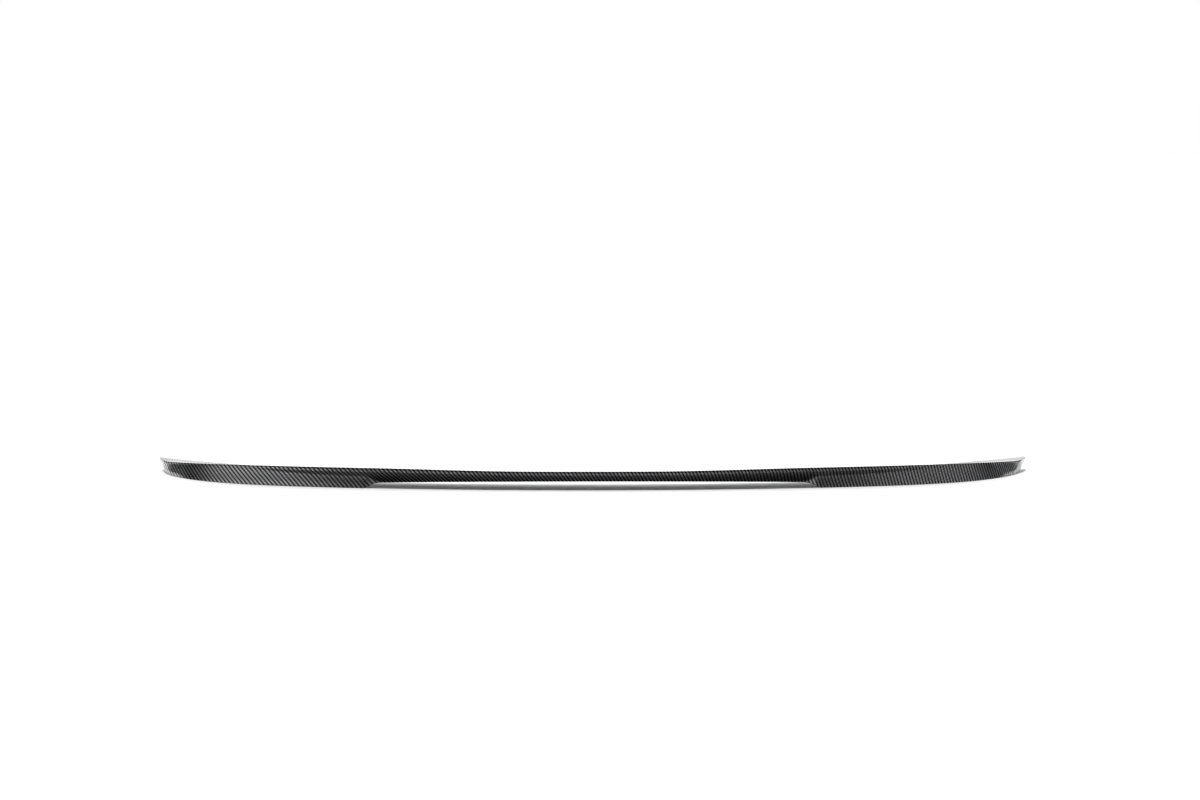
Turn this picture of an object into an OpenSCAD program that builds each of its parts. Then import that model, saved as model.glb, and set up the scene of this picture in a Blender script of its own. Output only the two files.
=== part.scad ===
// Boot-lid lip spoiler, moulded as one thin shell. Millimetres, rear edge towards -Y, +Z up.
// It stands on the feet of its two skirts, as it does on a floor, so those feet are at z = 0.
// The shell is a loft: one cross-section is worked out at each station along the span,
// from the front edge over the crest and down the rear face, and back along the inside.

/* [Plan] */
// Overall width, tip to tip
span = 1200; // [1040:10:1440]
// Plan radius of the rear crest at the middle
plan_radius = 2150; // [1700:50:4000]
// How far the crest sweeps forward at the tips, beyond that radius
tip_sweep = 88; // [64:2:104]
// How late that sweep begins: a higher power keeps the middle plainer
sweep_power = 9.9; // [8.1:0.1:12]
// Depth at the middle, from the crest to the front edge
chord = 48; // [38:1:60]
// Depth at the tips, from the crest's own curve to the front edge
tip_chord = 16; // [12:0.5:20]
// How late the front edge sweeps forward
front_power = 6.4; // [5.2:0.2:7.6]
// Length over which the rear edge turns the corner at each tip
corner_len = 16; // [12:1:20]
// Rake of the end wall at each tip, in degrees from the direction of travel
tip_rake = 20; // [14:1:24]
// Size of the small flat at each front corner
corner_flat = 5; // [3:0.5:6.5]

/* [Crest] */
// Height of the crest at the middle
crest_h = 24; // [20:0.2:30]
// How much higher the crest is over the skirts
wing_rise = 2.2; // [0:0.2:6]
// Distance from the middle at which the crest starts to rise
rise_start = 88; // [0:4:140]
// Distance from the tip at which the crest has risen
rise_inset = 308; // [100:4:360]
// How far the crest comes down again at the tips
tip_drop = 12.3; // [6:0.1:13]
// How late the crest comes down
drop_power = 9; // [5:0.2:11]
// Hollow of the top between the land and the crest: 1 is straight
kick_power = 1.6; // [1.2:0.1:2.4]

/* [Shell] */
// Wall of the moulding, square to its face
wall = 2; // [1.5:0.1:2.8]
// Thickness left at the front edge, where the top is feathered
edge_t = 1.2; // [0.8:0.1:1.4]
// Width of that feathered strip
edge_w = 2.5; // [1.5:0.5:4]

/* [Bonding land] */
// Width of the flat strip that is bonded to the lid
land_w = 12; // [8:0.5:16]
// Height of that strip's underside at the front edge, at the middle
land_h = 13.6; // [11:0.2:16]
// Rise of the strip towards the front of the car, in degrees
land_slope = 2; // [0:0.1:5]
// How far the strip falls away at the tips, with the crown of the lid
tip_crown = 3; // [0:0.5:5]
// Distance from the tip at which it starts to fall away
crown_inset = 100; // [60:5:140]

/* [Lip] */
// Height of the rounded lip under the crest
lip_h = 4.5; // [3:0.1:6]
// How far the lip stands out behind the crest
lip_out = 2.8; // [1.5:0.1:3.6]
// Share of the lip's size that is left at the tips
lip_tip_share = 0.45; // [0.3:0.05:1]
// Distance from the tip at which the lip starts to shrink
lip_fade = 220; // [160:10:280]
// Distance from the tip at which it has shrunk
lip_end = 100; // [60:5:140]

/* [Rear cut-out] */
// Width of the cut-out between the skirts, at their feet
cut_w = 608; // [480:4:740]
// Length of the ramp at each end of the cut-out
cut_ramp = 22; // [18:1:44]
// Height of the cut-out at the middle
cut_h = 10.5; // [8:0.1:14]
// How much lower it is at its ends
cut_fall = 5.3; // [0:0.1:6]

/* [Undercut and groove] */
// Forward lean of the face under the lip, in degrees
undercut_lean = 35; // [15:1:38]
// How slowly it bends from upright to that lean
undercut_bend = 2; // [1:0.5:4]
// Depth of the crease below the crest, at the skirt's inner end: it climbs to the lip along the skirt
groove_drop = 11.5; // [9:0.1:14]
// Distance from the tip at which the groove has run out
groove_end = 125; // [90:5:160]
// How softly undercut and flank meet in the crease
crease_round = 1.5; // [0.5:0.1:2.5]

/* [Skirts] */
// How far a skirt's foot stands out behind the crest
flare = 6; // [3:0.2:9]
// How far the foot turns forward at the skirt's inner end
skirt_turn = 9; // [6:0.5:12]
// How far it stands out at the tips: below zero the end wall tucks in below its lip
tip_flare = -2; // [-3:0.5:1]
// Distance from the tip at which the flare starts to shrink
flare_inset = 30; // [20:2:60]
// How far the lower edge is tucked under at the tips, and over what height
tip_tuck = 1.2; // [0:0.1:1.6]
tuck_h = 6; // [4:0.5:8]
// Distance from the tip at which that tuck begins
tuck_inset = 60; // [44:2:80]
// How far the lower edge lifts off the ground at the tips
tip_lift = 4.2; // [0:0.2:6]
// Distance from the tip at which it starts to lift
lift_inset = 60; // [30:2:80]
// How much more it lifts at the front corner of each end wall
end_lift = 2.5; // [0:0.5:3]

/* [Fineness] */
// Stations in the middle, from the centre line to the ramp
n_mid = 10; // [6:1:12]
// Stations over the ramp
n_ramp = 7; // [5:1:8]
// Stations from the ramp to the corner
n_wing = 22; // [12:1:24]
// Stations round the corner
n_tip = 9; // [6:1:10]
// Points over the top, from the land to the crest
n_top = 8; // [5:1:9]
// Points round the lip
n_lip = 4; // [3:1:5]
// Points down the rear face
n_face = 10; // [6:1:11]

/* [Hidden] */
half = span / 2;
cut_half = cut_w / 2;
lift_power = 2;
// Distance from the tip at which the last lift starts
end_inset = 6;
// Each skirt's inner end turns over this length, and starts so far before the ramp
turn_len = 24;
turn_lead = 4;
turn_x = cut_half - cut_ramp - turn_lead;
// Length over which the tips' tuck comes in
tuck_fade = 25;
// Radius inside the crest's corner, and how far that corner stays below the top's own wall
core_round = 0.6 * wall;
core_dip = 0.3 * core_round;
// The share of a short chord that the land may take near the tips
land_share = 0.55;
// The share of the stations round the tip that the corner itself takes
turn_share = 0.4;
// Small step over which a slope is measured
slope_step = 0.1;

function mix(a, b, t) = a + (b - a) * t;
// Smooth step: 0 up to a, 1 from b on, level at both ends
function ease(x, a, b) = let (t = max(0, min(1, (x - a) / (b - a)))) t * t * (3 - 2 * t);

// Plan curves, as functions of the distance x from the centre line
function crest_y(x) = x * x / (2 * plan_radius) + tip_sweep * pow(x / half, sweep_power);
function crest_yaw(x) =
    atan(x / plan_radius + tip_sweep * sweep_power / half * pow(x / half, sweep_power - 1));
function front_y(x) = chord + x * x / (2 * plan_radius)
    + (tip_sweep + tip_chord - chord) * pow(x / half, front_power);

// Heights
function land_z(x, y) = land_h + tan(land_slope) * (y - chord)
    - tip_crown * pow(max(0, x - half + crown_inset) / crown_inset, 2);
function crest_z(x) = crest_h + wing_rise * ease(x, rise_start, half - rise_inset)
    - tip_drop * pow(x / half, drop_power);
function cut_z(x) = cut_h - cut_fall * pow(x / cut_half, 2);
function foot_z(x) =
    x < cut_half ? cut_z(x) * (1 - ease(x, cut_half - cut_ramp, cut_half))
    : tip_lift * pow(max(0, x - half + lift_inset) / lift_inset, lift_power)
    + end_lift * pow(max(0, x - half + end_inset) / end_inset, 2);

// A station is [distance from the centre line, crest point, outward yaw, front-edge point].
// Along the span the front-edge point lies square to the crest.
corner_x = half - corner_len;
function wing_station(x) = let (
        yaw = crest_yaw(x),
        reach = (front_y(x) - crest_y(x)) * cos(yaw),
        front_x = x - reach * sin(yaw)
    ) [x, [x, crest_y(x)], yaw, [front_x, front_y(front_x)]];

// Round the tip the crest turns the corner on a quadratic curve through start, knee and wall start.
// From there the end wall runs straight to the front corner. The knee is where the crest's own
// direction meets the line of that wall.
tip_x = half - lip_out * lip_tip_share * cos(tip_rake);
tip_end = [tip_x, front_y(tip_x) - corner_flat];
tip_start = wing_station(corner_x);
rake = [sin(tip_rake), cos(tip_rake)];
sweep = [cos(tip_start[2]), sin(tip_start[2])];
gap = tip_end - tip_start[1];
knee_run = cross(gap, rake) / cross(sweep, rake);
tip_knee = tip_start[1] + sweep * knee_run;
wall_start = tip_knee + rake * knee_run;
function tip_station(t) = let (
        u = min(t / turn_share, 1),
        first = mix(tip_start[1], tip_knee, u),
        second = mix(tip_knee, wall_start, u),
        along = second - first,
        p = mix(first, second, u) + (tip_end - wall_start) * max(t - turn_share, 0) / (1 - turn_share),
        front_x = mix(tip_start[3][0], tip_x - corner_flat / 2, t)
    ) [mix(corner_x, half, t), p, atan2(along[1], along[0]), [front_x, front_y(front_x)]];

ramp_x = cut_half - cut_ramp;
stations = concat(
    [for (i = [0:n_mid - 1]) wing_station(ramp_x * i / n_mid)],
    [for (i = [0:n_ramp - 1]) wing_station(ramp_x + cut_ramp * i / n_ramp)],
    [for (i = [0:n_wing - 1]) wing_station(mix(cut_half, corner_x, i / n_wing))],
    [for (i = [0:n_tip]) tip_station(i / n_tip)]
);

// Rear face: how far it stands out behind the crest at a depth d below it. Two faces meet in a rounded
// crease: the undercut, which bends forward under the lip, and the flank, which leans out to the foot.
function lip_share(x) = mix(1, lip_tip_share, ease(x, half - lip_fade, half - lip_end));
function crease_d(x) = mix(groove_drop, lip_h * lip_share(x), ease(x, cut_half, half - groove_end));
function under_out(x, d) = lip_out * lip_share(x)
    - tan(undercut_lean) * (norm([d - lip_h * lip_share(x), undercut_bend]) - undercut_bend);
function foot_out(x) = mix(flare - skirt_turn * (1 - ease(x, turn_x, turn_x + turn_len)),
    tip_flare, ease(x, half - flare_inset, half));
// The flank's lean: it runs from the crease to the foot, and inside the cut-out it stays as at the skirt
function flank_slope(x, zc) = let (
        a = max(x, cut_half),
        z = x < cut_half ? crest_z(a) : zc
    ) (foot_out(a) - under_out(a, crease_d(a))) / (z - crease_d(a));
// The larger of two values, rounded off by r where they are equal
function smooth_max(a, b, r) = (a + b + norm([a - b, r])) / 2;
function face_out(x, zc, d) = smooth_max(
    under_out(x, d),
    foot_out(x) - flank_slope(x, zc) * (zc - d),
    crease_round * (crease_d(x) - lip_h * lip_share(x)) / (groove_drop - lip_h * lip_share(x)))
    - tip_tuck * ease(x, half - tuck_inset, half - tuck_inset + tuck_fade)
    * pow(max(0, d - zc + foot_z(x) + tuck_h) / tuck_h, 2);
// Sideways thickness that leaves the wall its true thickness where the face leans
function face_wall(x, zc, d) =
    wall * norm([1, (face_out(x, zc, d + slope_step) - face_out(x, zc, d)) / slope_step]);

// Top: its height at a share s of the way from the front edge to the crest
function top_z(st, zc, s) = let (
        run = norm(st[1] - st[3]),
        flat = min(land_w, land_share * run) / run,
        p = mix(st[3], st[1], s),
        rise = zc - wall - land_z(st[1][0], st[1][1])
    ) land_z(p[0], p[1]) + wall + rise * pow(max(0, s - flat) / (1 - flat), kick_power);

// One cross-section: outer points from the front edge to the foot, then the inner points that
// face them. Each pair spans the wall.
function section(st) = let (
        x = st[0],
        out = [sin(st[2]), -cos(st[2])],
        run = norm(st[1] - st[3]),
        flat = min(land_w, land_share * run) / run,
        zc = max(crest_z(x), land_z(st[1][0], st[1][1]) + wall),
        zf = foot_z(x),
        lh = lip_h * lip_share(x),
        lo = lip_out * lip_share(x),
        shares = concat([0, min(edge_w / run, flat / 2)],
            [for (i = [0:n_top - 1]) mix(flat, 1, i / n_top)]),
        in_edge = st[1] + out * (lo - wall),
        in_d = wall + core_round,
        outer = concat(
            [for (i = [0:len(shares) - 1]) let (p = mix(st[3], st[1], shares[i]))
                [p[0], p[1], i == 0 ? land_z(p[0], p[1]) + edge_t : top_z(st, zc, shares[i])]],
            [for (i = [0:n_lip - 1]) let (q = 90 * i / n_lip, p = st[1] + out * (lo * sin(q)))
                [p[0], p[1], zc - lh * (1 - cos(q))]],
            [for (i = [0:n_face]) let (
                    d = mix(lh, zc - zf, i / n_face),
                    p = st[1] + out * face_out(x, zc, d))
                [p[0], p[1], zc - d]]),
        inner = concat(
            [for (s = shares) let (p = mix(st[3], in_edge - out * core_round, s),
                    lean = (top_z(st, zc, s) - top_z(st, zc, s - slope_step / run)) / slope_step,
                    level = s > flat ? wall * (norm([1, lean]) - 1) : 0)
                [p[0], p[1], min(top_z(st, zc, s) - wall - level, zc - wall - core_dip)]],
            [for (i = [0:n_lip - 1]) let (q = 90 * i / n_lip,
                    p = in_edge - out * (core_round * (1 - sin(q))))
                [p[0], p[1], zc - wall - core_dip - core_round * (1 - cos(q))]],
            [for (i = [0:n_face]) let (
                    d = mix(max(lh, in_d + core_round), zc - zf, i / n_face),
                    p = st[1] + out * (face_out(x, zc, d) - face_wall(x, zc, d)))
                [p[0], p[1], zc - d]])
    ) concat(outer, [for (i = [len(inner) - 1:-1:0]) inner[i]]);

module loft(rows) {
    m = len(rows[0]);
    n = len(rows);
    points = [for (r = rows) for (p = r) p];
    sides = [for (i = [0:n - 2]) for (j = [0:m - 1]) let (
            a = i * m + j, b = i * m + (j + 1) % m, c = b + m, d = a + m)
        each [[a, c, b], [a, d, c]]];
    // Each end is closed by the strip between its outer and inner points
    function strip(i, turn) = [for (j = [0:m / 2 - 2]) let (
            a = i * m + j, b = a + 1, c = i * m + m - 2 - j, d = c + 1)
        each (turn ? [[a, b, c], [a, c, d]] : [[a, c, b], [a, d, c]])];
    polyhedron(points, concat(sides, strip(0, true), strip(n - 1, false)), convexity = 10);
}

half_rows = [for (st = stations) section(st)];
all_y = [for (r = half_rows) for (p = r) p[1]];
mid_y = (min(all_y) + max(all_y)) / 2;
n_half = len(half_rows) - 1;
rows = [for (i = [-n_half:n_half])
    [for (p = half_rows[abs(i)]) [sign(i) * p[0], p[1] - mid_y, p[2]]]];

module spoiler_shell() {
    color([0.1, 0.1, 0.11]) loft(rows);
}

spoiler_shell();
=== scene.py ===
# %% [markdown]
# # A carbon-fibre lip spoiler
# The object is a low spoiler for the edge of a car's boot lid: one thin shell of woven carbon fibre under
# a clear gloss coat. It lies on a white studio floor and is seen from behind. The whole piece is a smooth
# skin with a gentle sweep, so nearly all of its looks come from three things: clean curves, a weave at
# the right scale, and what the gloss reflects.

# %% Load the frame
import math
import bpy
import numpy as np
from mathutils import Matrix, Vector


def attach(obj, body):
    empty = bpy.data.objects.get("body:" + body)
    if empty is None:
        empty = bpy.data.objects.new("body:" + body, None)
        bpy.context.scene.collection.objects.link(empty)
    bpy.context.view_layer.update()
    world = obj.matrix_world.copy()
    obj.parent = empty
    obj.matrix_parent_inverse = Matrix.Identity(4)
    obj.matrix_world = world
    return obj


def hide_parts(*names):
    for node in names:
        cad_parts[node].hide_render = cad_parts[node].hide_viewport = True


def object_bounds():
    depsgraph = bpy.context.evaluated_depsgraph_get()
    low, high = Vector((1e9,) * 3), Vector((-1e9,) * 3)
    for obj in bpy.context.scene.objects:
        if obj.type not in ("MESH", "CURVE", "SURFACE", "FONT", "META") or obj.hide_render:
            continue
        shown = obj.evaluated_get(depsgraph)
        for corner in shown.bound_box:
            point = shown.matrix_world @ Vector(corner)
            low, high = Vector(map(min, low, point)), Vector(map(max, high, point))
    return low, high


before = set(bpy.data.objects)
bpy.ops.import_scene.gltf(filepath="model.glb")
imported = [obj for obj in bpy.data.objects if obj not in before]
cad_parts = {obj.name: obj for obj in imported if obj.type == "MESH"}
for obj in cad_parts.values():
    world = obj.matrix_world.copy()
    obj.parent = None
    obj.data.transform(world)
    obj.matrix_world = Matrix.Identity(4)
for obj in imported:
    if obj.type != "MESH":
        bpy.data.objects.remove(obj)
cad_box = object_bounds()
MM = 0.001  # the part's sizes are in millimetres, Blender's are in metres
print("solid model, mm:", [round(v / MM, 1) for v in cad_box[1] - cad_box[0]])

# %% [markdown]
# ## The camera
# A long lens far away flattens the view, which is how a wide, low part is photographed. The picture
# places the camera: the floor point under the middle of the crest is seen a little left of the frame's
# centre and below it, and the line of sight to that point is 9 degrees above the floor. The distance
# follows from the part's known width and the width that it takes in the picture.

# %% Camera
FRAME_W = 1200  # the picture's width in pixels
FRAME_CENTRE = (600, 400)  # in pixels, as the next
AIM_PIXEL = (591.7, 489.8)  # where the floor point under the crest is seen
LENS, SENSOR = 70.0, 36.0  # focal length and sensor width, mm
SIGHT = math.radians(9.0)  # how far the line of sight leans down
DISTANCE = 3.057  # metres along the line of sight
ROLL = 0.001  # radians
FAR_CLIP = 100.0  # metres
LIP_REACH = 2.85 * MM  # how far the lip stands out behind the crest at the middle

focal = LENS / SENSOR * FRAME_W
down = math.atan((AIM_PIXEL[1] - FRAME_CENTRE[1]) / focal)
pitch = SIGHT - down
aim_y = cad_box[0][1] + LIP_REACH
depth_ahead = DISTANCE * math.cos(down)
camera_data = bpy.data.cameras.new("camera")
camera_data.lens = LENS
camera_data.sensor_width = SENSOR
camera_data.clip_end = FAR_CLIP
camera = bpy.data.objects.new("camera", camera_data)
bpy.context.scene.collection.objects.link(camera)
camera.location = ((FRAME_CENTRE[0] - AIM_PIXEL[0]) / focal * depth_ahead,
                   aim_y - DISTANCE * math.cos(SIGHT), DISTANCE * math.sin(SIGHT))
camera.rotation_euler = (math.pi / 2 - pitch, ROLL, 0)
bpy.context.scene.camera = camera
print("camera at", [round(v, 3) for v in camera.location], "looking down", round(math.degrees(pitch), 2))

# %% [markdown]
# ## The plan
# The real part is laid up in a mould whose shape is a sweep: the same kind of cross-section all along,
# led by a few smooth curves. They could be drawn by hand as curve objects. Here each is a function of the
# distance x from the middle, because a formula works on a whole array, and one call gives every station
# of the span. Seen from above there are two: where the crest runs, and where the front edge runs. Sizes
# are in millimetres.

# %% Curves seen from above
HALF = 600.0  # half the span
PLAN_RADIUS = 2150.0  # of the circle that the crest follows
TIP_SWEEP, SWEEP_POWER = 88.0, 9.9  # how far the tips sweep on from it, and how late
CHORD, TIP_CHORD = 48.0, 16.0  # from crest to front edge, in the middle and at the tips
FRONT_POWER = 6.4  # how late the front edge closes in


def mix(a, b, t):
    """The value a share t of the way from a to b."""
    return a + (b - a) * t


def ease(x, a, b):
    """A smooth step: 0 up to a, 1 from b on, level at both ends. It is t squared times (3 - 2t)."""
    t = np.clip((x - a) / (b - a), 0, 1)
    return t * t * (3 - 2 * t)


def into_tip(x, inset):
    """How far x lies into the last stretch before the tip, as a share of its length: 1 at the tip."""
    return np.maximum(0, x - HALF + inset) / inset


def crest_y(x):
    """Crest in plan: a wide circle, as x squared over its diameter, plus a late sweep, a high power of x."""
    return x * x / (2 * PLAN_RADIUS) + TIP_SWEEP * (x / HALF) ** SWEEP_POWER


def crest_yaw(x):
    """Angle of the crest to the span: the arc tangent of the plan curve's slope."""
    return np.arctan(x / PLAN_RADIUS + TIP_SWEEP * SWEEP_POWER / HALF * (x / HALF) ** (SWEEP_POWER - 1))


def front_y(x):
    """Front edge in plan: the same circle a chord further forward, closing in on the crest at the tips."""
    return CHORD + x * x / (2 * PLAN_RADIUS) + (TIP_SWEEP + TIP_CHORD - CHORD) * (x / HALF) ** FRONT_POWER


print("crest in plan, mm: wing", round(crest_y(HALF / 2), 1), "tip", round(crest_y(HALF), 1))

# %% [markdown]
# ## The heights
# Seen from behind there are more curves of the same kind. The crest rises a little over the skirts and
# falls at the tips. The flat land that is bonded to the car falls away at the tips too. The lower edge
# has a long shallow cut-out with a ramp at each end, stands on the floor beside it and lifts towards the
# tips. The crest ends in a rounded lip, which gets smaller towards the tips.

# %% Curves seen from behind
CREST_H = 24.0  # in the middle
WING_RISE, RISE_START = 2.2, 88.0  # its rise, and where that starts
RISE_INSET = 308.0  # how far from the tip the rise ends
TIP_DROP, DROP_POWER = 12.3, 9.0  # its fall at the tips, and how late
LAND_H, LAND_SLOPE = 13.6, math.tan(math.radians(2.0))  # height and slope of the land's underside
TIP_CROWN, CROWN_INSET = 3.0, 100.0  # how far it falls away, and over what length
CUT_HALF, CUT_RAMP = 304.0, 22.0  # half the cut-out, and its ramp
CUT_H, CUT_FALL = 10.5, 5.3  # its height, and how much less that is at its ends
TIP_LIFT, LIFT_INSET = 4.2, 60.0  # the lower edge's lift, and over what length
END_LIFT, END_INSET = 2.5, 6.0  # its second lift, on the end wall
LIP_H, LIP_OUT = 4.5, 2.8  # the lip's height, and how far it stands out
LIP_TIP_SHARE = 0.45  # what is left of it at the tips
LIP_FADE, LIP_END = 220.0, 100.0  # from how far to how far before the tip it shrinks


def crest_z(x):
    """Height of the crest: a smooth rise over the skirts and a late fall, as a power of x, at the tips."""
    return CREST_H + WING_RISE * ease(x, RISE_START, HALF - RISE_INSET) - TIP_DROP * (x / HALF) ** DROP_POWER


def land_z(x, y):
    """Underside of the bonding land: a plane that rises to the front and falls away near the tips."""
    return LAND_H + LAND_SLOPE * (y - CHORD) - TIP_CROWN * into_tip(x, CROWN_INSET) ** 2


def cut_z(x):
    """Height of the rear cut-out's edge: a shallow parabola."""
    return CUT_H - CUT_FALL * (x / CUT_HALF) ** 2


def foot_z(x):
    """Lower edge: the cut-out, a smooth ramp down to the floor, level feet, and two lifts at the tips."""
    inside = cut_z(np.minimum(x, CUT_HALF)) * (1 - ease(x, CUT_HALF - CUT_RAMP, CUT_HALF))
    lift = TIP_LIFT * into_tip(x, LIFT_INSET) ** 2
    lift = lift + END_LIFT * into_tip(x, END_INSET) ** 2
    return np.where(x < CUT_HALF, inside, lift)


def lip_share(x):
    """How much of the lip's size is left at x."""
    return mix(1, LIP_TIP_SHARE, ease(x, HALF - LIP_FADE, HALF - LIP_END))


some_x = np.array([0, CUT_HALF, HALF])
print("heights, mm: crest", np.round(crest_z(some_x), 1), "lower edge", np.round(foot_z(some_x), 1))

# %% [markdown]
# ## The stations
# A station is one place along the span where a cross-section stands: a point on the crest, the direction
# that points outwards there, and the point on the front edge that belongs to it. Along the span that
# direction is square to the crest. Even steps would waste faces in the quiet middle, so the ramp, which
# turns tighter, gets its own closer steps. Only half the span is worked out, and the other half mirrors it.

# %% Stations along the wing
N_MID, N_RAMP, N_WING = 66, 30, 120  # over the cut-out, on its ramp and along the skirt
CORNER_LEN = 16.0  # how far from the tip the corner starts


def share(n):
    """n even steps from 0, leaving out 1."""
    return np.arange(n) / n


def wing_stations(x):
    """x, crest point, yaw and front point: the front point lies square to the crest, one reach away."""
    yaw = crest_yaw(x)
    front_x = x - (front_y(x) - crest_y(x)) * np.cos(yaw) * np.sin(yaw)
    return x, np.stack([x, crest_y(x)], -1), yaw, np.stack([front_x, front_y(front_x)], -1)


corner_x = HALF - CORNER_LEN
ramp_x = CUT_HALF - CUT_RAMP
wing_x = np.concatenate([ramp_x * share(N_MID), ramp_x + CUT_RAMP * share(N_RAMP),
                         mix(CUT_HALF, corner_x, share(N_WING))])
print(len(wing_x), "stations up to the corner at, mm:", corner_x)

# %% [markdown]
# ## The turned corner
# At the tip of the real part the crest turns a corner and runs on forward as a short straight end wall. A
# separate end cap would show a seam in the gloss. So the stations follow the crest round the corner, the
# sections fan out there, and the skin stays one grid to its very end.

# %% Stations round the tip
N_TIP = 44
CORNER_FLAT = 5.0  # how far the end wall stops behind the front edge
TIP_RAKE = math.radians(20.0)  # the end wall's turn in plan
TURN_SHARE = 0.4  # the share of the tip's stations that the corner takes

tip_x = HALF - LIP_OUT * LIP_TIP_SHARE * math.cos(TIP_RAKE)
tip_end = np.array([tip_x, front_y(tip_x) - CORNER_FLAT])
_, tip_start, start_yaw, start_front = (v[0] for v in wing_stations(np.array([corner_x])))
rake = np.array([math.sin(TIP_RAKE), math.cos(TIP_RAKE)])
sweep = np.array([math.cos(start_yaw), math.sin(start_yaw)])
gap = tip_end - tip_start
knee_run = (gap[0] * rake[1] - gap[1] * rake[0]) / (sweep[0] * rake[1] - sweep[1] * rake[0])
tip_knee = tip_start + sweep * knee_run  # where the sweep and the end wall would meet
wall_start = tip_knee + rake * knee_run


def tip_stations(t):
    """Round the corner a quadratic curve through start and knee, whose tangent is the line between the two
    points that are mixed to make it. From there on the end wall is straight."""
    u = np.minimum(t / TURN_SHARE, 1)[:, None]
    first, second = mix(tip_start, tip_knee, u), mix(tip_knee, wall_start, u)
    along = second - first
    on_wall = (np.maximum(t - TURN_SHARE, 0) / (1 - TURN_SHARE))[:, None]
    p = mix(first, second, u) + (tip_end - wall_start) * on_wall
    front_x = mix(start_front[0], tip_x - CORNER_FLAT / 2, t)
    return (mix(corner_x, HALF, t), p, np.arctan2(along[:, 1], along[:, 0]),
            np.stack([front_x, front_y(front_x)], -1))


tips = tip_stations(np.arange(N_TIP + 1) / N_TIP)
st_x, st_crest, st_yaw, st_front = (np.concatenate(pair) for pair in zip(wing_stations(wing_x), tips))
st_out = np.stack([np.sin(st_yaw), -np.cos(st_yaw)], -1)
print(len(st_x), "stations on each side; yaw at the corner", round(math.degrees(start_yaw), 1), "degrees")

# %% [markdown]
# ## The rear face
# The rear face is two faces that meet in a soft crease: an undercut below the lip and a flank down to the
# foot. Over the cut-out only the undercut is left, and along each skirt the crease climbs to the lip and
# ends. Two surfaces and a boolean would leave a hard edge. Here the face is the larger of two formulas,
# joined by a rounded corner, so it stays one smooth surface from tip to tip.

# %% Rear face
UNDERCUT, UNDERCUT_BEND = math.tan(math.radians(35.0)), 2.0  # its lean, and the size of the bend above it
GROOVE_DROP, GROOVE_END = 11.5, 125.0  # the crease's depth by the cut-out, and how far from the tip it ends
CREASE_ROUND = 1.5  # rounding where undercut and flank meet
FLARE, TIP_FLARE = 6.0, -2.0  # how far the foot stands out along the skirt and at the tip
FLARE_INSET = 30.0  # the length over which that changes
SKIRT_TURN, TURN_LEN = 9.0, 24.0  # the foot's turn forward at the ramp, and over what length
TURN_LEAD = 4.0  # how far before the ramp that starts
TIP_TUCK, TUCK_H = 1.2, 6.0  # how far the tip's lower edge is tucked under, and over what height
TUCK_INSET, TUCK_FADE = 60.0, 25.0  # how far from the tip that starts, and its first stretch
TURN_X = CUT_HALF - CUT_RAMP - TURN_LEAD


def crease_depth(x):
    """Depth of the crease below the crest: steady by the cut-out, then climbing to the lip."""
    return mix(GROOVE_DROP, LIP_H * lip_share(x), ease(x, CUT_HALF, HALF - GROOVE_END))


def under_out(x, d):
    """The undercut: upright under the lip, then bending forward to a steady lean. The depth below the lip is
    one side of a right triangle, the bend's size the other, and the lean follows the long side."""
    lip = lip_share(x)
    return LIP_OUT * lip - UNDERCUT * (np.hypot(d - LIP_H * lip, UNDERCUT_BEND) - UNDERCUT_BEND)


def foot_out(x):
    """How far the foot stands out: it turns forward at the skirt's inner end and tapers at the tip."""
    turned = FLARE - SKIRT_TURN * (1 - ease(x, TURN_X, TURN_X + TURN_LEN))
    return mix(turned, TIP_FLARE, ease(x, HALF - FLARE_INSET, HALF))


def flank_slope(x, zc):
    """The flank's lean: from the crease to the foot, and inside the cut-out as it is at the skirt."""
    a = np.maximum(x, CUT_HALF)
    z = np.where(x < CUT_HALF, crest_z(a), zc)
    return (foot_out(a) - under_out(a, crease_depth(a))) / (z - crease_depth(a))


def face_out(x, zc, d):
    """How far the face stands out behind the crest at a depth d below it: the larger of undercut and flank.
    Half of their sum plus half of the long side over their difference rounds the crease between them. At the
    tips the lower edge is tucked under, by the square of the share of the tuck's height."""
    lip = LIP_H * lip_share(x)
    under, flank = under_out(x, d), foot_out(x) - flank_slope(x, zc) * (zc - d)
    soft = CREASE_ROUND * (crease_depth(x) - lip) / (GROOVE_DROP - lip)
    tuck = TIP_TUCK * ease(x, HALF - TUCK_INSET, HALF - TUCK_INSET + TUCK_FADE)
    low = np.maximum(0, d - zc + foot_z(x) + TUCK_H) / TUCK_H
    return (under + flank + np.hypot(under - flank, soft)) / 2 - tuck * low ** 2


print("foot behind the crest, mm:", np.round(foot_out(some_x), 1))

# %% [markdown]
# ## The cross-section
# Each section runs from the front edge over the top to the crest, round the lip, down the rear face to the
# foot, and back along the inside of the wall. It could be a drawn profile that is carried along the crest,
# but here it changes all the way: the top gets shorter, the lip smaller and the foot moves. So the section
# is a set of formulas as well, and first comes the top, with its flat land and its hollow rise.

# %% Top
WALL = 2.0
LAND_W, LAND_SHARE = 12.0, 0.55  # the flat land's width, and the most of the top that it takes
KICK_POWER = 1.6  # how hollow the rise from the land to the crest is


def land_end(run):
    """Share of the way from the front edge to the crest that the flat land takes."""
    return np.minimum(LAND_W, LAND_SHARE * run) / run


def top_z(zc, run, front, crest, s):
    """Height of the top at a share s from the front edge: the land's plane, and from its end a hollow rise
    to the crest, as a power of the share."""
    p = front + (crest - front) * s[..., None]
    rise = zc - WALL - land_z(crest[..., 0], crest[..., 1])
    flat = land_end(run)
    return land_z(p[..., 0], p[..., 1]) + WALL + rise * (np.maximum(0, s - flat) / (1 - flat)) ** KICK_POWER


print("the land's share of the top in the middle:", land_end(CHORD))

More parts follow.
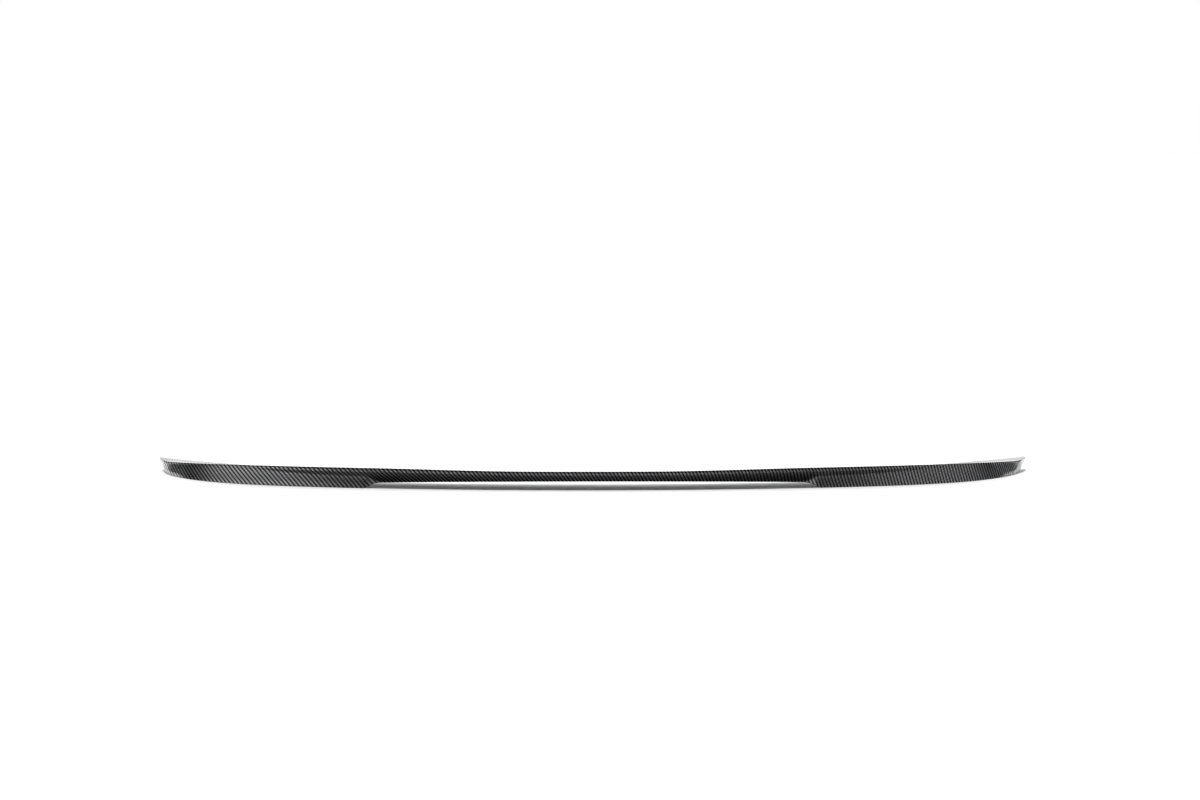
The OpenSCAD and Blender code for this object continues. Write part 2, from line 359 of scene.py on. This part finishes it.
# %% [markdown]
# ## Steps across the section
# Every formula takes a column of stations and a row of steps, and numpy works out each pair of them. So the
# whole skin is one array of stations by steps, without any loop. More steps go to where the section bends.

# %% Steps across a section
EDGE_T, EDGE_W = 1.2, 2.5  # the front edge's thickness, and the width that it is thinned over
N_LAND, N_TOP, N_LIP, N_FACE = 3, 22, 12, 30  # steps over the land, the rest of the top, the lip, the face

x = st_x[:, None]
crest, front, out = st_crest[:, None, :], st_front[:, None, :], st_out[:, None, :]
run = np.linalg.norm(st_crest - st_front, axis=-1)[:, None]
flat = land_end(run)
zc = np.maximum(crest_z(x), land_z(crest[..., 0], crest[..., 1]) + WALL)
zf = foot_z(x)
lip_high, lip_wide = LIP_H * lip_share(x), LIP_OUT * lip_share(x)
edge = np.minimum(EDGE_W / run, flat / 2)
s = np.concatenate([edge * 0, edge, mix(edge, flat, 0.5), mix(flat, 1, share(N_TOP)[None, :])], 1)
quarter = math.pi / 2 * share(N_LIP)[None, :]
down_face = (np.arange(N_FACE + 1) / N_FACE)[None, :]


def lay(plan, z):
    """Points from their places in plan and their heights."""
    return np.concatenate([plan, np.broadcast_to(z[..., None], plan.shape[:2] + (1,))], -1)


def beside(amount):
    """Places that stand out behind the crest by an amount."""
    return crest + out * amount[..., None]


print("from front edge to crest, mm:", np.round([run.min(), run.max()], 1), "in steps:", s.shape[1])

# %% [markdown]
# ## The wall
# The laminate is two millimetres thick. A Solidify modifier could give that. Here the inside is worked out
# too, because behind the lip the real wall turns in a small curve of its own, and because the solid model
# has the same one.

# %% Outside of the wall
top = top_z(zc, run, front, crest, s)
thinned = top.copy()
thinned[:, 0] = (land_z(front[..., 0], front[..., 1]) + EDGE_T)[:, 0]
depth = mix(lip_high, zc - zf, down_face)
outer = np.concatenate([lay(front + (crest - front) * s[..., None], thinned),
                        lay(beside(lip_wide * np.sin(quarter)), zc - lip_high * (1 - np.cos(quarter))),
                        lay(beside(face_out(x, zc, depth)), zc - depth)], 1)
print("section points outside:", outer.shape[1])

# %% Inside of the wall
CORE_ROUND = 0.6 * WALL  # the inside's rounding behind the lip
CORE_DIP = 0.3 * CORE_ROUND  # how much lower than the wall asks the inside stays there
SLOPE_STEP = 0.1  # the step that slopes are measured over

in_edge = crest + out * (lip_wide - WALL)[..., None]
in_end = in_edge - out * CORE_ROUND
corner = in_edge - out * (CORE_ROUND * (1 - np.sin(quarter)))[..., None]
# Measured upright, a sloping wall is thicker, by the long side of a right triangle of 1 and its slope
lean = (top - top_z(zc, run, front, crest, s - SLOPE_STEP / run)) / SLOPE_STEP
extra = np.where(s > flat, WALL * (np.hypot(1, lean) - 1), 0)
depth = mix(np.maximum(lip_high, WALL + 2 * CORE_ROUND), zc - zf, down_face)
slope = (face_out(x, zc, depth + SLOPE_STEP) - face_out(x, zc, depth)) / SLOPE_STEP
inner = np.concatenate([
    lay(front + (in_end - front) * s[..., None], np.minimum(top - WALL - extra, zc - WALL - CORE_DIP)),
    lay(corner, zc - WALL - CORE_DIP - CORE_ROUND * (1 - np.cos(quarter))),
    lay(beside(face_out(x, zc, depth) - WALL * np.hypot(1, slope)), zc - depth)], 1)
print("section points inside:", inner.shape[1])

# %% [markdown]
# ## Softened edges
# A moulded edge is trimmed with a saw and sanded, so it catches a thin line of light. A sharp corner in a
# mesh catches none. Each of the section's four corners, two at the foot and two at the front edge, is
# replaced by a small curve. A Bevel modifier could do it too, but here the curve is part of the same
# grid, so the cloth's coordinates run straight over it.

# %% Section loops with rounded corners
SOFT = 0.45  # how far from the corner the curve starts
SOFT_SHARE = 0.45  # and the most of a line that it takes
N_SOFT = 4


def soften(before, corner, after):
    """A quadratic curve that leaves the line to the corner a radius before it and joins the next line a
    radius after it."""
    def toward(p):
        way = p - corner
        far = np.linalg.norm(way, axis=-1, keepdims=True)
        return corner + way / far * np.minimum(SOFT, far * SOFT_SHARE)

    a, b = toward(before)[:, None, :], toward(after)[:, None, :]
    t = (np.arange(N_SOFT + 1) / N_SOFT)[None, :, None]
    return mix(mix(a, corner[:, None, :], t), mix(corner[:, None, :], b, t), t)


loop = np.concatenate([
    soften(inner[:, 0], outer[:, 0], outer[:, 1]), outer[:, 1:-1],
    soften(outer[:, -2], outer[:, -1], inner[:, -1]),
    soften(outer[:, -1], inner[:, -1], inner[:, -2]), inner[:, -2:0:-1],
    soften(inner[:, 1], inner[:, 0], outer[:, 0])], 1)
gloss_steps = outer.shape[1] - 2 + 2 * (N_SOFT + 1)
crest_step = N_SOFT + 1 + N_LAND - 1 + N_TOP
print("points in a section's loop:", loop.shape[1], "of them glossy:", gloss_steps)

# %% [markdown]
# ## Coordinates for the cloth
# The weave isn't mirrored: its ribs lean the same way on both wings. Cloth that is laid by hand along a
# bowed mould gives way a little, so its threads turn against the crest, faster in the middle and at the
# left end, and over the lip it slips sideways on the right wing. So the skin is unrolled: the crest
# becomes a curve in the plane of the cloth, with its own turn at every station, and a point lies off that
# curve by the length of skin between the crest and the point.

# %% Both wings
def both_sides(half, sign_at):
    """The half for x below 0 in reverse order, then the half for x from 0 on. A place is mirrored by turning
    the sign of its coordinate number sign_at, and where that is None nothing is turned."""
    left = half[:0:-1].copy()
    if sign_at is not None:
        left[..., sign_at] *= -1
    return np.concatenate([left, half])


mid_y = (loop[..., 1].min() + loop[..., 1].max()) / 2  # the solid model is centred too
points = both_sides(loop, 0) - [0, mid_y, 0]
print("spoiler's skin:", points.shape, "box, mm:", np.round(points.max((0, 1)) - points.min((0, 1)), 1))

# %% Unroll the skin
CLOTH_TURN, CLOTH_REACH = math.radians(15.5), 400.0  # the crest's turn against the cloth, and its reach
LEFT_TURN, LEFT_START, LEFT_LEN = math.radians(7), 380.0, 180.0  # what the left end adds, and where
LIP_SLIP, SLIP_REACH = 0.08, 300.0  # slip in the middle, per length of skin, and where it has doubled
SLIP_FADE, SLIP_END = 380.0, 480.0  # where it fades out on the right wing
SLIP_SKIN = 7.0  # the length of skin below the crest that slips


def cloth_turn(x):
    """Angle of the crest to the cloth: a sine that levels out on the wings, and a square at the left end."""
    left = np.maximum(0, -x - LEFT_START) / LEFT_LEN
    return CLOTH_TURN * np.sin(math.pi / 2 * np.clip(x / CLOTH_REACH, -1, 1)) - LEFT_TURN * left ** 2


def lip_slip(x):
    """Slip of the cloth over the lip: none on the left wing, growing to the right, gone at its end."""
    return -LIP_SLIP * (1 + np.clip(x / SLIP_REACH, -1, 1)) * (1 - ease(x, SLIP_FADE, SLIP_END))


def skin_length(rows):
    """Length along each section: the running sum of its steps, measured from the crest and positive down the
    rear face."""
    step = np.linalg.norm(np.diff(np.concatenate([rows, rows[:, :1]], 1), axis=1), axis=-1)
    length = np.concatenate([np.zeros((len(rows), 1)), np.cumsum(step, 1)], 1)
    return length - length[:, crest_step:crest_step + 1]


def unroll(x, crest, length):
    """Cloth coordinates: the running sum of the crest's steps, each laid in its own direction, starting at
    the middle of the span, plus the length of skin square to that direction and the slip along it."""
    turn = cloth_turn(x)
    step = np.linalg.norm(np.diff(crest, axis=0), axis=-1)
    way = (turn[1:] + turn[:-1]) / 2
    path = np.cumsum(step[:, None] * np.stack([np.cos(way), np.sin(way)], -1), 0)
    path = np.concatenate([np.zeros((1, 2)), path])
    path = path - path[len(x) // 2]
    down = np.stack([np.sin(turn), -np.cos(turn)], -1)
    along = np.stack([np.cos(turn), np.sin(turn)], -1)
    slip = lip_slip(x)[:, None] * np.clip(length, 0, SLIP_SKIN)
    return path[:, None, :] + down[:, None, :] * length[..., None] + along[:, None, :] * slip[..., None]


full_x = both_sides(st_x[:, None], 0)[:, 0]
cloth = unroll(full_x, both_sides(st_crest, 0), both_sides(skin_length(loop), None))
print("cloth, mm:", np.round(cloth.max((0, 1)) - cloth.min((0, 1)), 1))

# %% [markdown]
# ## The mesh
# Neighbouring points of neighbouring sections make a quad, and the loop closes on itself. The two ends
# are closed by a strip between the outside and the inside of the wall. Everything is worked out as index
# arrays and handed to Blender at once, which takes a moment where a loop over the faces would take
# minutes.

# %% Faces
def grid_faces(n, m):
    """Quads of n rows of m points, closed round the row: corner indices, and the same for the cloth's grid,
    which has one more point a row, so that its last quad doesn't run back to the start."""
    i, j = np.meshgrid(np.arange(n - 1), np.arange(m), indexing="ij")
    k = (j + 1) % m
    corners = np.stack([i * m + j, (i + 1) * m + j, (i + 1) * m + k, i * m + k], -1)
    w = m + 1
    cloth_at = np.stack([i * w + j, (i + 1) * w + j, (i + 1) * w + j + 1, i * w + j + 1], -1)
    return corners.reshape(-1, 4), cloth_at.reshape(-1, 4), j.ravel()


def end_faces(row, m, turned):
    """Quads across the wall at one end: point j of the row faces point m - 1 - j."""
    j = np.arange(m // 2 - 1)
    ring = np.stack([j, j + 1, m - 2 - j, m - 1 - j], -1)
    ring = ring[:, ::-1] if turned else ring
    return ring + row * m, ring + row * (m + 1)


n_rows, n_loop = points.shape[:2]
quads, quads_cloth, step_of = grid_faces(n_rows, n_loop)
first, first_cloth = end_faces(0, n_loop, True)
last, last_cloth = end_faces(n_rows - 1, n_loop, False)
faces = np.concatenate([quads, first, last])
faces_cloth = np.concatenate([quads_cloth, first_cloth, last_cloth])
is_inside = np.concatenate([(step_of >= gloss_steps), np.zeros(len(first) + len(last), bool)])
print(len(faces), "quads, of them on the bare inside:", is_inside.sum())

# %% Build the shell
SHARP = math.radians(50)  # an edge that turns more than this stays sharp

mesh = bpy.data.meshes.new("spoiler")
mesh.vertices.add(n_rows * n_loop)
mesh.vertices.foreach_set("co", (points * MM).astype(np.float32).ravel())
mesh.loops.add(faces.size)
mesh.loops.foreach_set("vertex_index", faces.astype(np.int32).ravel())
mesh.polygons.add(len(faces))
mesh.polygons.foreach_set("loop_start", np.arange(0, faces.size, 4, dtype=np.int32))
mesh.polygons.foreach_set("material_index", is_inside.astype(np.int32))
cloth_map = mesh.uv_layers.new(name="cloth")
cloth_map.data.foreach_set("uv", (cloth.reshape(-1, 2)[faces_cloth] * MM).astype(np.float32).ravel())
mesh.polygons.foreach_set("use_smooth", np.ones(len(faces), bool))
mesh.update(calc_edges=True)
mesh.set_sharp_from_angle(angle=SHARP)
print("valid:", not mesh.validate(), "faces:", len(mesh.polygons))
spoiler = bpy.data.objects.new("spoiler", mesh)
bpy.context.scene.collection.objects.link(spoiler)
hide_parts("spoiler_shell")
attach(spoiler, "root")

# %% [markdown]
# ## Node helpers
# A material in Blender is a tree of nodes, and so is the world. Every tree here is built by the same few
# calls, which keeps each finish readable as a formula.

# %% Short hands for nodes
class Nodes:
    """Short hands for a tree of nodes, which starts empty."""

    def __init__(self, tree):
        self.tree = tree
        tree.nodes.clear()

    def add(self, kind, inputs=None, **settings):
        """A node with its settings. An input that is given a socket is linked to it, else it is set."""
        node = self.tree.nodes.new(kind)
        for key, value in settings.items():
            setattr(node, key, value)
        for key, value in (inputs or {}).items():
            if isinstance(value, bpy.types.NodeSocket):
                self.tree.links.new(value, node.inputs[key])
            else:
                node.inputs[key].default_value = value
        return node

    def math(self, operation, a, b=0.0):
        """The result of a sum on a and b."""
        return self.add("ShaderNodeMath", {0: a, 1: b}, operation=operation).outputs[0]

    def blend(self, factor, low, high):
        """low where the factor is 0, high where it is 1, and in between in proportion."""
        return self.add("ShaderNodeMapRange", {"Value": factor, "To Min": low, "To Max": high}).outputs[0]

    def fade(self, value, start, end, low, high):
        """low at start, high at end, with a smooth step between them."""
        return self.add("ShaderNodeMapRange", {"Value": value, "From Min": start, "From Max": end,
                                               "To Min": low, "To Max": high},
                        interpolation_type="SMOOTHSTEP").outputs[0]

    def grey(self, level, blue=None):
        """A grey colour of one level, with its own level for blue where that is given."""
        blue = level if blue is None else blue
        return self.add("ShaderNodeCombineColor", {0: level, 1: level, 2: blue}).outputs[0]


def new_material(name):
    """An empty material, and the short hands for its nodes."""
    material = bpy.data.materials.new(name)
    material.use_nodes = True
    return material, Nodes(material.node_tree)


# %% [markdown]
# ## The woven cloth
# Carbon cloth is made of flat bundles of fibre, called tows, about 1.5 mm wide. In a 2x2 twill each tow
# passes over two crossing tows and under two, and each row is shifted by one, which gives the slanting
# ribs. A fibre shines only across its own direction, so tows that run along the span are bright where
# those that cross it are dark. In nodes, a cell of the weave is the whole part of both cloth coordinates.
# Which tow lies on top is the remainder of their sum by 4: below 2 it is one family, else the other.

# %% Weave
TOW = 1.53 * MM  # spacing of the tows
TOW_TURN = math.radians(16.5)  # how far the first family of tows is turned from the span
WANDER_SCALE, WANDER = 22.0, 0.9 * MM  # the noise that the tows wander by, and how far
REPEAT, OVER = 4.0, 2.0  # tows in the pattern, and how many of them a tow passes over
ROUND_POWER, DIVE_POWER = 0.5, 0.6  # roundness of a tow across its width, and where it dives under
DIVE_LOW = 0.45  # a tow's height where it dives, as a share of its top
SECOND_FAMILY = 500.3  # keeps the numbers of the second family's tows apart from those of the first


def weave(n):
    """The twill in terms of the cloth's coordinates: which family lies on top, how high it stands, the tow's
    own number, and the places across the tow and along it. A tow's height is a power of a sine across its
    width, times the same kind of arch along the stretch where it lies on top."""
    uv = n.add("ShaderNodeUVMap", uv_map="cloth").outputs[0]
    wander = n.add("ShaderNodeTexNoise", {"Vector": uv, "Scale": WANDER_SCALE, "Detail": 1.0})
    off = n.add("ShaderNodeVectorMath", {0: wander.outputs["Color"], 1: (0.5, 0.5, 0.5)},
                operation="SUBTRACT").outputs[0]
    off = n.add("ShaderNodeVectorMath", {0: off, "Scale": WANDER}, operation="SCALE").outputs[0]
    moved = n.add("ShaderNodeVectorMath", {0: uv, 1: off}).outputs[0]
    laid = n.add("ShaderNodeMapping", {"Vector": moved, "Rotation": (0, 0, TOW_TURN),
                                       "Scale": (1 / TOW, 1 / TOW, 1)}, vector_type="POINT").outputs[0]
    parts = n.add("ShaderNodeSeparateXYZ", {0: laid})
    a, b = parts.outputs[0], parts.outputs[1]
    column, row = n.math("FLOOR", a), n.math("FLOOR", b)
    first_up = n.math("LESS_THAN", n.math("FLOORED_MODULO", n.math("ADD", column, row), REPEAT), OVER)
    first_across, second_across = n.math("FRACT", a), n.math("FRACT", b)
    first_along = n.math("FLOORED_MODULO", n.math("ADD", column, b), REPEAT)
    second_along = n.math("SUBTRACT", n.math("FLOORED_MODULO", n.math("ADD", a, row), REPEAT), OVER)

    def arch(value, length, power):
        half_wave = n.math("SINE", n.math("MULTIPLY", value, math.pi / length))
        return n.math("POWER", n.math("MAXIMUM", half_wave, 0.0), power)

    def height(across, along):
        over = n.blend(arch(along, OVER, DIVE_POWER), DIVE_LOW, 1.0)
        return n.math("MULTIPLY", arch(across, 1, ROUND_POWER), over)

    top = n.blend(first_up, height(second_across, second_along), height(first_across, first_along))
    number = n.blend(first_up, n.math("ADD", row, SECOND_FAMILY), column)
    across = n.blend(first_up, second_across, first_across)
    along = n.blend(first_up, a, b)
    return first_up, top, number, across, along


print("ribs of the weave stand apart by, mm:", round(REPEAT * TOW / MM / math.sqrt(2), 2))

# %% [markdown]
# ## Under the clear coat
# The fibres behave like dark brushed metal. So the cloth is a metallic surface, stretched in its gloss
# across each tow, with the gloss direction switched by a quarter turn between the two families. The glint
# of the family along the span is painted into the colour as well: that family gets a bright colour and
# the crossing one a dark colour, as painted highlight and painted shade. A clear coat lies on top with its
# own smooth normal: the weave is bumped and the coat is not, as on the lacquered part. The inside is the
# same cloth without its coat, where the two families' painted colours differ much less.

# %% Carbon materials
TOW_SHADES = (0.82, 1.18)  # each tow's own brightness
STRAND_SHADES = (0.6, 1.4)  # that of the strands in a tow
STRANDS_ACROSS, STRANDS_ALONG = 9.0, 0.6  # strands in a tow's width, and in as much of its length
# painted shade: the colour is darkened where a tow dips low between its neighbours
VALLEY_PAINTED_SHADE = 0.35  # brightness between the tows
COOL = 1.03  # carbon is a little bluer than grey
RELIEF = 0.12 * MM  # height of the tows
STRETCH = 0.8  # how far the gloss is stretched across the fibres
COAT_INDEX = 1.4


def carbon(name, painted_glint, painted_unlit, rough, coat, coat_rough, bump):
    """Woven carbon. The first two numbers after the name are colour levels of the two families of tows: a
    painted glint on the family along the span, and painted shade on the crossing one. The level at a point
    is that times the own tones of its tow and its strand, and a painted shade that darkens the valleys
    between the tows."""
    material, n = new_material(name)
    first_up, height, number, across, along = weave(n)
    own = n.add("ShaderNodeTexWhiteNoise", {"W": number}, noise_dimensions="1D").outputs[0]
    finely = {0: n.math("MULTIPLY", across, STRANDS_ACROSS), 1: n.math("MULTIPLY", along, STRANDS_ALONG),
              2: number}
    strand = n.add("ShaderNodeCombineXYZ", finely).outputs[0]
    streak = n.add("ShaderNodeTexNoise", {"Vector": strand, "Scale": 1.0, "Detail": 2.0}).outputs["Fac"]
    # painted highlight and painted shade: the family along the span gets the bright colour, the crossing
    # family the dark one
    painted_family_light = n.blend(first_up, painted_glint, painted_unlit)
    tone_and_painted_shade = n.math("MULTIPLY", n.blend(own, *TOW_SHADES), n.blend(streak, *STRAND_SHADES))
    # painted shade in the valleys between the tows, on top of the tows' own tones
    tone_and_painted_shade = n.math("MULTIPLY", tone_and_painted_shade, n.blend(height, VALLEY_PAINTED_SHADE, 1.0))
    level = n.math("MULTIPLY", painted_family_light, tone_and_painted_shade)
    colour = n.grey(level, n.math("MULTIPLY", level, COOL))
    relief = n.add("ShaderNodeBump", {"Height": height, "Strength": bump, "Distance": RELIEF}).outputs[0]
    tangent = n.add("ShaderNodeTangent", direction_type="UV_MAP", uv_map="cloth").outputs[0]
    turn = TOW_TURN / (2 * math.pi)  # as a share of a full turn, of which a quarter is 0.25
    surface = n.add("ShaderNodeBsdfPrincipled", {
        "Base Color": colour, "Metallic": 1.0, "Roughness": rough, "Normal": relief, "Anisotropic": STRETCH,
        "Anisotropic Rotation": n.blend(first_up, turn + 0.25, turn), "Tangent": tangent,
        "Coat Weight": coat, "Coat Roughness": coat_rough, "Coat IOR": COAT_INDEX})
    n.add("ShaderNodeOutputMaterial", {"Surface": surface.outputs[0]})
    return material


# the first two numbers are the painted glint and the painted shade of the two families
lacquered = carbon("lacquered_carbon", painted_glint=0.6, painted_unlit=0.018, rough=0.29,
                   coat=1.0, coat_rough=0.03, bump=0.5)
bare = carbon("bare_carbon", painted_glint=0.16, painted_unlit=0.07, rough=0.5,
              coat=0.0, coat_rough=0.5, bump=1.0)
mesh.materials.append(lacquered)
mesh.materials.append(bare)
print("nodes in each material:", [len(m.node_tree.nodes) for m in mesh.materials])

# %% [markdown]
# ## The floor
# A grey floor would mirror well and look wrong. So the floor has two colours: near white for the eye, and
# for glossy rays a painted shade that is dark behind the part and turns white under it, so that the gloss
# mirrors a shaded floor there.

# %% Floor
FLOOR_SIZE = 60.0  # metres, so that its edge is never seen
FLOOR_WHITE = 0.93
# painted shade on the floor, as the gloss sees it
FLOOR_GLOSS_SHADE = 0.12  # share of it that the gloss sees behind the part
GLOSS_START, GLOSS_END = -0.04, 0.03  # from where to where that turns white, in metres from the middle
FLOOR_ROUGH, FLOOR_SHINE = 0.9, 0.2  # matt paper

bpy.ops.mesh.primitive_plane_add(size=FLOOR_SIZE, location=(0, 0, 0))
floor = bpy.context.object
floor.name = "floor"
white_floor, paper = new_material("white_floor")
seen_in_gloss = paper.add("ShaderNodeLightPath").outputs["Is Glossy Ray"]
place = paper.add("ShaderNodeTexCoord").outputs["Object"]
ahead = paper.add("ShaderNodeSeparateXYZ", {0: place}).outputs[1]
# painted shade: for glossy rays the floor behind the part is darkened, as if it were in shade
painted_gloss_shade = paper.fade(ahead, GLOSS_START, GLOSS_END, FLOOR_GLOSS_SHADE, 1.0)
white = paper.blend(seen_in_gloss, FLOOR_WHITE, paper.math("MULTIPLY", painted_gloss_shade, FLOOR_WHITE))
finish = paper.add("ShaderNodeBsdfPrincipled", {
    "Base Color": paper.grey(white), "Roughness": FLOOR_ROUGH, "Specular IOR Level": FLOOR_SHINE})
paper.add("ShaderNodeOutputMaterial", {"Surface": finish.outputs[0]})
floor.data.materials.append(white_floor)
print("floor, m:", FLOOR_SIZE)

# %% [markdown]
# ## The studio around the part
# A glossy black part shows mostly what stands around it: here a dim room with soft lights and dark gaps
# between them. Lamps and screens could be built as objects. A world is simpler, because it can answer each
# kind of ray in its own way. The camera sees plain white. Glossy rays see the room: a dim grey with round
# soft patches of light, and two gaps at the sides that take light away. The floor is lit most from its far
# side, which leaves the narrow shadow under the rear edge.

# %% World
AMBIENT_NEAR, AMBIENT_FAR = 0.1, 0.06  # the dim grey, on the camera's side and on the far side
NEAR_AT, FAR_AT = -0.5, 0.8  # where these are reached, as the y of a direction
LEFT_SHARE, RIGHT_SHARE, SIDE_AT = 1.25, 0.8, 0.8  # how the grey changes from left to right
ZENITH_SHARE, ZENITH_START, ZENITH_FULL = 0.2, 0.75, 0.97  # and how much is left of it straight above
FLOOR_NEAR, FLOOR_FAR = 0.12, 2.9  # light on the floor, from the camera's side and from the far side
# Bearing, height, radius and soft rim in degrees, and strength. A gap takes its share of the light away.
PATCHES = [(0, 4, 10, 16, 0.5), (-50, 16, 12, 18, 0.62), (50, 16, 12, 22, 0.32), (180, 6, 16, 14, 1.1),
           (-145, 2, 12, 8, 1.0), (145, 2, 12, 8, 1.0)]
GAPS = [(-106, 8, 20, 5, 0.9), (106, 8, 17, 8, 0.75)]

world = bpy.data.worlds.new("studio")
bpy.context.scene.world = world
world.use_nodes = True
room = Nodes(world.node_tree)
direction = room.add("ShaderNodeTexCoord").outputs["Generated"]
to_x, to_y, to_z = room.add("ShaderNodeSeparateXYZ", {0: direction}).outputs


def patch(side, height, size, soft, strength):
    """A round soft patch of light. side is its bearing in degrees from behind the car, positive to the
    right, height its elevation. The cosine of the angle to its middle is the dot product with its
    direction."""
    bearing, rise = math.radians(side), math.radians(height)
    middle = (math.sin(bearing) * math.cos(rise), -math.cos(bearing) * math.cos(rise), math.sin(rise))
    product = room.add("ShaderNodeVectorMath", {0: direction, 1: middle}, operation="DOT_PRODUCT")
    rim, full = math.cos(math.radians(size + soft)), math.cos(math.radians(size))
    return room.fade(product.outputs["Value"], rim, full, 0.0, strength)


gloss_light = room.fade(to_y, NEAR_AT, FAR_AT, AMBIENT_NEAR, AMBIENT_FAR)
sideways = room.fade(to_x, -SIDE_AT, SIDE_AT, LEFT_SHARE, RIGHT_SHARE)
gloss_light = room.math("MULTIPLY", gloss_light, sideways)
upwards = room.fade(to_z, ZENITH_START, ZENITH_FULL, 1.0, ZENITH_SHARE)
gloss_light = room.math("MULTIPLY", gloss_light, upwards)
for spot in PATCHES:
    gloss_light = room.math("ADD", gloss_light, patch(*spot))
for spot in GAPS:
    gloss_light = room.math("MULTIPLY", gloss_light, room.math("SUBTRACT", 1.0, patch(*spot)))
floor_light = room.fade(to_y, 0.0, 1.0, FLOOR_NEAR, FLOOR_FAR)
ray = room.add("ShaderNodeLightPath").outputs
lit = room.add("ShaderNodeMix", {"Factor": ray["Is Diffuse Ray"], "A": gloss_light, "B": floor_light})
seen = room.add("ShaderNodeMix", {"Factor": ray["Is Camera Ray"], "A": lit.outputs[0], "B": 1.0})
sky = room.add("ShaderNodeBackground", {"Color": (1, 1, 1, 1), "Strength": seen.outputs[0]})
room.add("ShaderNodeOutputWorld", {"Surface": sky.outputs[0]})
print("studio:", len(PATCHES), "patches of light and", len(GAPS), "dark gaps")

# %% [markdown]
# ## The lamp overhead
# A large soft light hangs over the real part. An area lamp would leave the far floor darker than the near
# one. A sun lamp with a wide disc gives the same soft shadow and one even white. The gloss doesn't see it,
# because the world already holds what is mirrored.

# %% Lights
LAMP_LEAN_Y, LAMP_LEAN_X = math.radians(6), math.radians(-8)  # away from straight overhead
LAMP_POWER, LAMP_SPREAD = 2.25, math.radians(10)
LAMP_PLACE = (-0.2, 0.4, 2.0)  # a sun shines alike from any place: this one keeps it clear of the part

lamp = bpy.data.lights.new("overhead", "SUN")
lamp.energy, lamp.angle = LAMP_POWER, LAMP_SPREAD
overhead = bpy.data.objects.new("overhead", lamp)
bpy.context.scene.collection.objects.link(overhead)
overhead.location = LAMP_PLACE
overhead.rotation_euler = (-LAMP_LEAN_Y, LAMP_LEAN_X, 0)
overhead.visible_glossy = False
print("overhead lamp's spread:", round(math.degrees(LAMP_SPREAD)), "degrees")

# %% [markdown]
# ## The picture and the end
# Colours are shown as they are worked out, without a film look, so that white stays white.

# %% Picture settings and the end
view = bpy.context.scene.view_settings
view.view_transform = "Standard"
view.look = "None"
view.exposure = 0.0
